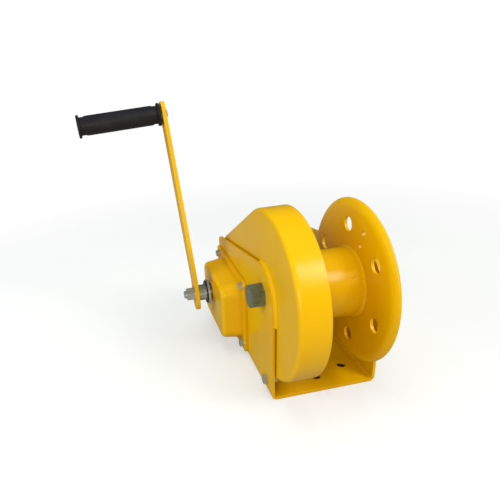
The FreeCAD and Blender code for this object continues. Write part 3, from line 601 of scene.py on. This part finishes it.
def ripple(piece: bpy.types.Object, segments: int, every: int, height: float) -> None:
    """Raises every few spokes of a turned ring, as the passes of a weld.

    Args:
        piece: The turned ring.
        segments: Spokes round the ring.
        every: Spokes from one raised spoke to the next.
        height: How far they rise, in metres.
    """
    select_none()
    bpy.context.view_layer.objects.active = piece
    piece.select_set(True)
    mesh = piece.data
    centre = sum((v.co for v in mesh.vertices), Vector()) / len(mesh.vertices)
    step = 2 * math.pi / segments
    for vertex in mesh.vertices:
        arm = vertex.co - centre
        spoke = round(math.atan2(arm.z, arm.y) / step)
        vertex.select = spoke % every == 0
    for edge in mesh.edges:
        edge.select = all(mesh.vertices[i].select for i in edge.vertices)
    for face in mesh.polygons:
        face.select = False
    bpy.ops.object.mode_set(mode="EDIT")
    bpy.ops.mesh.select_mode(type="VERT")
    bpy.ops.transform.shrink_fatten(value=height)
    bpy.ops.object.mode_set(mode="OBJECT")


# ------------------------------------------------------------------ sub-assemblies

@dataclass
class SubAssembly:
    """A group of nodes that moves as one, with the pieces that are added to it."""

    body: str

    def nodes(self) -> list[str]:
        """The names of its carried-over nodes."""
        return list(frame["record"]["behaviour"]["bodies"][self.body])

    def dress(self, shop: Paintshop) -> int:
        """Puts each node's finish on.

        Args:
            shop: Where the finishes are.

        Returns:
            The number of nodes dressed.
        """
        names = self.nodes()
        for name in names:
            shop.dress(name)
        return len(names)

    def build(self, shop: Paintshop) -> list[bpy.types.Object]:
        """Makes the pieces it adds: none, unless a kind of sub-assembly has some."""
        return []


@dataclass
class RopeDrum(SubAssembly):
    """The drum, whose two weld beads are turned and rippled."""

    body: str = "drum"
    leg: float = 3.9 * MM
    overlap: float = 0.5 * MM
    segments: int = 288
    pass_spokes: int = 4
    pass_height: float = 0.4 * MM
    round_steps: int = 5
    fullness: float = 0.45

    def bead(self, name: str, face: float, side: float, barrel: float) -> bpy.types.Object:
        """One rounded fillet bead in the corner between barrel and flange.

        Args:
            name: The piece's name.
            face: X of the flange's rope side.
            side: 1 where the bead grows towards +X, -1 towards -X.
            barrel: The barrel's radius.

        Returns:
            The bead.
        """
        centre = middle_of("drum_barrel")
        start = Vector((face - side * self.overlap, centre.y, centre.z))
        axis = Vector((side, 0, 0))
        inner, leg = barrel - self.overlap, self.leg
        outline = [(0, inner), (0, inner + leg)]
        for i in range(1, self.round_steps):
            turn = math.pi / 2 * i / self.round_steps
            along, out = math.sin(turn), math.cos(turn)
            outline.append((leg * (1 - out * self.fullness) * along,
                            inner + leg * (1 - along * self.fullness) * out))
        outline.append((leg, inner))
        piece = turned_ring(name, start, axis, outline, self.segments)
        ripple(piece, self.segments, self.pass_spokes, self.pass_height)
        return piece

    def build(self, shop: Paintshop) -> list[bpy.types.Object]:
        """Makes both beads, which stand for the plain ones."""
        low, high = (Vector(corner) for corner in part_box("drum_welds"))
        barrel_low, barrel_high = (Vector(corner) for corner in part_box("drum_barrel"))
        barrel = (barrel_high.z - barrel_low.z) / 2
        pieces = [self.bead("weld_outer", high.x, -1, barrel),
                  self.bead("weld_inner", low.x, 1, barrel)]
        for piece in pieces:
            shop.coat(piece, Finish.yellow_paint)
            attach(piece, self.body)
            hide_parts("drum_welds")
        return pieces


@dataclass
class ThreadedEnd:
    """The turns of thread that show past a nut."""

    name: str
    body: str
    shank: str
    nut: str
    radius: float
    pitch: float
    outward: float
    finish: Finish
    buried: float = 0.4 * MM
    end_room: float = 1.0 * MM
    crest_rise: float = 0.12 * MM
    root_depth: float = 0.45 * MM
    core_depth: float = 1.0 * MM
    wall_lean: float = 0.01 * MM
    flanks: tuple[float, ...] = (0.12, 0.45, 0.6, 0.93)
    segments: int = 64

    def build(self, shop: Paintshop) -> bpy.types.Object:
        """Makes the visible thread ridges as one turned sleeve round the shank's end."""
        middle = middle_of(self.nut)
        side = 1 if self.outward > 0 else 0
        end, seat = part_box(self.shank)[side][0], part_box(self.nut)[side][0]
        start = Vector((seat - self.outward * self.buried, middle.y, middle.z))
        reach = abs(end - start.x) - self.end_room
        turns = max(1, int(reach / self.pitch))
        crest, root = self.radius + self.crest_rise, self.radius - self.root_depth
        core, foot = self.radius - self.core_depth, root + self.wall_lean
        outline = [(0, core), (0, root)]
        for i in range(turns):
            outline += [((i + part) * self.pitch, height)
                        for part, height in zip(self.flanks, (foot, crest, crest, foot))]
        outline.append((turns * self.pitch, core))
        piece = turned_ring(self.name, start, Vector((self.outward, 0, 0)), outline,
                            self.segments)
        shop.coat(piece, self.finish)
        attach(piece, self.body)
        return piece


@dataclass
class GripRoller(SubAssembly):
    """The moulded grip, with rounded flanges, creased necks and a pocket for the spindle's head."""

    body: str = "grip_roller"
    flange_r: float = 16.7 * MM
    flange_t: float = 4.0 * MM
    neck_r: float = 13.0 * MM
    body_r: float = 14.2 * MM
    neck_l: float = 6.0 * MM
    taper: float = 4.0 * MM
    bore_r: float = 5.4 * MM
    pocket_r: float = 9.0 * MM
    pocket_l: float = 4.4 * MM
    rim: float = 1.2 * MM
    crease_l: float = 0.8 * MM
    crease_start: float = 0.1 * MM
    swell_at: float = 0.4
    swell: float = 0.7 * MM
    draft: float = 0.05 * MM
    pocket_edge: float = 0.5 * MM
    wall_lean: float = 0.01 * MM
    segments: int = 96

    def axis(self) -> tuple[Vector, Vector, float]:
        """The grip's start, its direction and its length, from the joint and the node's box."""
        joint = next(j for j in frame["joints"] if j["name"] == "grip_spin")
        heading = Vector(joint["axis"]).normalized()
        centre = middle_of("grip")
        low, high = (Vector(corner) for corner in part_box("grip"))
        tilt = math.sqrt(max(0.0, 1 - heading.x ** 2))
        length = ((high.x - low.x) - 2 * self.flange_r * tilt) / abs(heading.x)
        return centre - heading * (length / 2), heading, length

    def outline(self, length: float) -> list[Station]:
        """The closed outline from bore to flange, along the body and back by the pocket."""
        rim, neck_end = self.rim, self.flange_t + self.neck_l
        corner = [(rim * (1 - math.cos(a)), self.flange_r - rim * (1 - math.sin(a)))
                  for a in (math.pi / 6, math.pi / 3, math.pi / 2)]
        near = [(0.0, self.bore_r), (0.0, self.flange_r - rim)] + corner
        near += [(self.flange_t - along, radius) for along, radius in reversed(corner)]
        near += [(self.flange_t + self.crease_start, self.neck_r + self.crease_l),
                 (self.flange_t + self.crease_l, self.neck_r),
                 (neck_end, self.neck_r + self.draft),
                 (neck_end + self.taper * self.swell_at, self.neck_r + self.swell),
                 (neck_end + self.taper, self.body_r)]
        far = [(length - along, radius) for along, radius in reversed(near[1:])]
        pocket = [(length, self.pocket_r + self.pocket_edge),
                  (length - self.pocket_edge, self.pocket_r),
                  (length - self.pocket_l, self.pocket_r - self.wall_lean),
                  (length - self.pocket_l - self.wall_lean, self.bore_r)]
        return near + far + pocket

    def build(self, shop: Paintshop) -> list[bpy.types.Object]:
        """Makes the grip, which stands for the plain one."""
        start, heading, length = self.axis()
        piece = turned_ring("grip_moulding", start, heading, self.outline(length), self.segments)
        shop.coat(piece, Finish.grip_plastic)
        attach(piece, self.body)
        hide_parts("grip")
        return [piece]


@dataclass
class BoxFrame(SubAssembly):
    """The folded frame with its covers, and the threaded end of the drum's axle."""

    body: str = "frame"
    axle_r: float = 10.0 * MM
    axle_pitch: float = 1.9 * MM

    def build(self, shop: Paintshop) -> list[bpy.types.Object]:
        """Makes the axle's thread."""
        thread = ThreadedEnd("axle_thread", self.body, "axle_bolt", "axle_nut", self.axle_r,
                             self.axle_pitch, 1.0, Finish.bare_steel)
        return [thread.build(shop)]


@dataclass
class LayShaft(SubAssembly):
    """The lay shaft with its gear and pinion, kept as they are."""

    body: str = "lay_shaft_group"


@dataclass
class CrankAndBrake(SubAssembly):
    """The crank, its shaft and the brake's discs, and the threaded end past the crank's nut."""

    body: str = "crank"
    stud_r: float = 6.0 * MM
    stud_pitch: float = 1.75 * MM

    def build(self, shop: Paintshop) -> list[bpy.types.Object]:
        """Makes the shaft's thread."""
        thread = ThreadedEnd("crank_thread", self.body, "crank_shaft", "crank_nut", self.stud_r,
                             self.stud_pitch, -1.0, Finish.zinc)
        return [thread.build(shop)]


@dataclass
class BrakePawl(SubAssembly):
    """The pawl, kept as it is."""

    body: str = "brake_pawl"


# ------------------------------------------------------------------ studio

@dataclass(frozen=True)
class Lamp:
    """A square soft lamp that faces the drum, mirrored by glossy surfaces or not."""

    name: str
    place: tuple[float, float, float]
    size: float
    power: float
    colour: Colour
    mirrored: bool = False

    def build(self) -> None:
        """Adds the lamp."""
        data = bpy.data.lights.new(self.name, "AREA")
        data.size, data.energy, data.color = self.size, self.power, self.colour
        lamp = bpy.data.objects.new(self.name, data)
        bpy.context.collection.objects.link(lamp)
        aim = middle_of("drum_barrel") - Vector(self.place)
        lamp.location = self.place
        lamp.visible_glossy = self.mirrored
        lamp.rotation_euler = aim.to_track_quat("-Z", "Y").to_euler()


@dataclass
class Studio:
    """Pale floor, soft lamps and the camera."""

    floor_size: float = 12.0
    floor_cells: int = 8
    floor_gap: float = 0.1 * MM
    floor_grain: Pattern = Pattern(30.0, 2.0)
    floor_roughness: float = 0.9
    base_shadow_span: Span = (-20 * MM, -4 * MM)
    sky: Colour = (0.93, 0.97, 1.0)
    white: Colour = (1.0, 1.0, 1.0)
    near_clip: float = 0.01
    sensor: float = 36.0
    world_light: float = 0.36
    world_mirror: float = 0.07
    floor_colour: Colour = (0.84, 0.85, 0.85)
    floor_pale: Colour = (0.86, 0.87, 0.87)
    bounce_colour: Colour = (0.36, 0.35, 0.32)
    floor_glow: float = 0.42
    shadow_reach: float = 0.5
    # Dark painted shadow on the floor under the base.
    base_shadow_colour: Colour = (0.05, 0.035, 0.02)
    eye: tuple[float, float, float] = (-0.24944, -0.61485, 0.43695)
    yaw: float = math.radians(9.81)
    pitch: float = math.radians(26.53)
    roll: float = math.radians(-4.44)
    lens: float = 34.29
    shift: tuple[float, float] = (0.1069, 0.0669)
    lamps: tuple[Lamp, ...] = (
        Lamp("key", (1.1, -1.35, 1.65), 0.9, 27.5, (1.0, 0.96, 0.88), True),
        Lamp("overhead", (-0.1, 0.1, 2.0), 1.5, 15.0, (0.92, 1.0, 1.0)),
        Lamp("window", (-1.7, -0.4, 0.9), 1.1, 14.5, (0.92, 1.0, 0.96)),
        Lamp("front", (-0.8, -1.7, 0.75), 0.55, 15.0, (1.0, 0.90, 0.70), True))

    def floor(self) -> bpy.types.Object:
        """Adds the floor, a wide flat sheet just under the winch."""
        select_none()
        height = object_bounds()[0][2] - self.floor_gap
        bpy.ops.mesh.primitive_grid_add(
            x_subdivisions=self.floor_cells, y_subdivisions=self.floor_cells,
            size=self.floor_size, location=(0, 0, height))
        floor = bpy.context.object
        floor.name = "floor"
        bpy.ops.object.transform_apply(location=True, rotation=True, scale=True)
        floor.data.materials.append(self.floor_material())
        floor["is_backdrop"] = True
        return floor

    def under_base(self, recipe: Recipe) -> Signal:
        """Where the painted shadow under the winch's base goes: 1 there, 0 outside, with a soft border.

        Args:
            recipe: The floor's material.

        Returns:
            The covered patch.
        """
        low, high = (Vector(corner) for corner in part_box("frame_bracket"))
        middle, half = (low + high) / 2, (high - low) / 2
        parts = recipe.add("ShaderNodeSeparateXYZ", {}, {0: recipe.place})
        across = (Signal(recipe.tree, parts.outputs[0]) - middle.x).length() - half.x
        along = (Signal(recipe.tree, parts.outputs[1]) - middle.y).length() - half.y
        return 1.0 - across.or_larger(along).ramp(*self.base_shadow_span)

    def floor_material(self) -> bpy.types.Material:
        """A pale sheet that keeps its shadows near the winch, has a dark painted shadow under the base and fades
        to plain white.
        """
        recipe = Recipe("stage_floor")
        tree, link = recipe.tree, recipe.tree.links.new
        grain = recipe.noise(self.floor_grain)
        sheet = recipe.blend(grain, self.floor_colour, self.floor_pale)
        # Painted shadow: the floor is made dark under the base, and its white glow is taken away there.
        base_shadow = self.under_base(recipe)
        recipe.feed(Base_Color=recipe.blend(base_shadow, sheet, self.base_shadow_colour),
                    Roughness=self.floor_roughness, Specular_IOR_Level=0.0)
        reach = recipe.add("ShaderNodeVectorMath", {"operation": "LENGTH"}, {0: recipe.place})
        away = Signal(tree, reach.outputs["Value"]).ramp(self.shadow_reach, 2 * self.shadow_reach)
        far = (away * (1.0 - self.floor_glow) + self.floor_glow) * (1.0 - base_shadow)
        white = recipe.add("ShaderNodeEmission", {}, {"Strength": 1.0})
        dull = recipe.add("ShaderNodeBsdfDiffuse", {}, {"Color": (*self.bounce_colour, 1.0)})
        rays = recipe.add("ShaderNodeLightPath", {}, {})
        faded = recipe.add("ShaderNodeMixShader", {}, {0: far})
        shown = recipe.add("ShaderNodeMixShader", {},
                           {0: Signal(tree, rays.outputs["Is Camera Ray"])})
        link(recipe.shader.outputs[0], faded.inputs[1])
        link(white.outputs[0], faded.inputs[2])
        link(dull.outputs[0], shown.inputs[1])
        link(faded.outputs[0], shown.inputs[2])
        output = next(n for n in tree.nodes if n.type == "OUTPUT_MATERIAL")
        link(shown.outputs[0], output.inputs[0])
        return recipe.material

    def world(self) -> None:
        """A surround that looks plain white and lights the winch softly."""
        world = bpy.data.worlds.new("studio")
        bpy.context.scene.world = world
        world.use_nodes = True
        tree = world.node_tree
        tree.nodes.clear()
        rays = tree.nodes.new("ShaderNodeLightPath")
        shown = Signal(tree, rays.outputs["Is Camera Ray"])
        clear = Signal(tree, rays.outputs["Is Transmission Ray"])
        mirrored = Signal(tree, rays.outputs["Is Glossy Ray"])
        layers = [(self.sky, self.world_light, None),
                  (self.sky, self.world_mirror, mirrored),
                  (self.white, 1.0, (shown + clear).held())]
        shader = None
        for colour, strength, factor in layers:
            background = tree.nodes.new("ShaderNodeBackground")
            background.inputs["Color"].default_value = (*colour, 1.0)
            background.inputs["Strength"].default_value = strength
            if shader is None:
                shader = background
                continue
            mix = tree.nodes.new("ShaderNodeMixShader")
            tree.links.new(factor.socket, mix.inputs[0])
            tree.links.new(shader.outputs[0], mix.inputs[1])
            tree.links.new(background.outputs[0], mix.inputs[2])
            shader = mix
        output = tree.nodes.new("ShaderNodeOutputWorld")
        tree.links.new(shader.outputs[0], output.inputs[0])

    def camera(self) -> None:
        """Sets the camera at its eye point, with its turn, tilt and roll."""
        data = bpy.data.cameras.new("camera")
        data.lens, data.sensor_width = self.lens, self.sensor
        data.shift_x, data.shift_y = self.shift
        data.clip_start = self.near_clip
        eye = bpy.data.objects.new("camera", data)
        bpy.context.collection.objects.link(eye)
        forward = Vector((math.sin(self.yaw) * math.cos(self.pitch),
                          math.cos(self.yaw) * math.cos(self.pitch), -math.sin(self.pitch)))
        level = Vector((math.cos(self.yaw), -math.sin(self.yaw), 0))
        above = level.cross(forward)
        right = level * math.cos(self.roll) + above * math.sin(self.roll)
        up = above * math.cos(self.roll) - level * math.sin(self.roll)
        turn = Matrix((right, up, -forward)).transposed().to_4x4()
        eye.matrix_world = Matrix.Translation(Vector(self.eye)) @ turn
        bpy.context.scene.camera = eye

    def build(self) -> None:
        """Sets up everything round the winch."""
        self.floor()
        self.world()
        for lamp in self.lamps:
            lamp.build()
        self.camera()
        bpy.context.scene.view_settings.view_transform = "Standard"


def main() -> None:
    """Builds the winch's looks in order and reports each piece."""
    logging.basicConfig(level=logging.INFO, format="%(message)s")
    shop = Paintshop()
    for group in (BoxFrame(), RopeDrum(), LayShaft(), CrankAndBrake(), GripRoller(), BrakePawl()):
        LOG.info("%s: %d nodes dressed", group.body, group.dress(shop))
        for piece in group.build(shop):
            LOG.info("piece %s: %d faces", piece.name, len(piece.data.polygons))
    Studio().build()


if __name__ == "__main__":
    main()
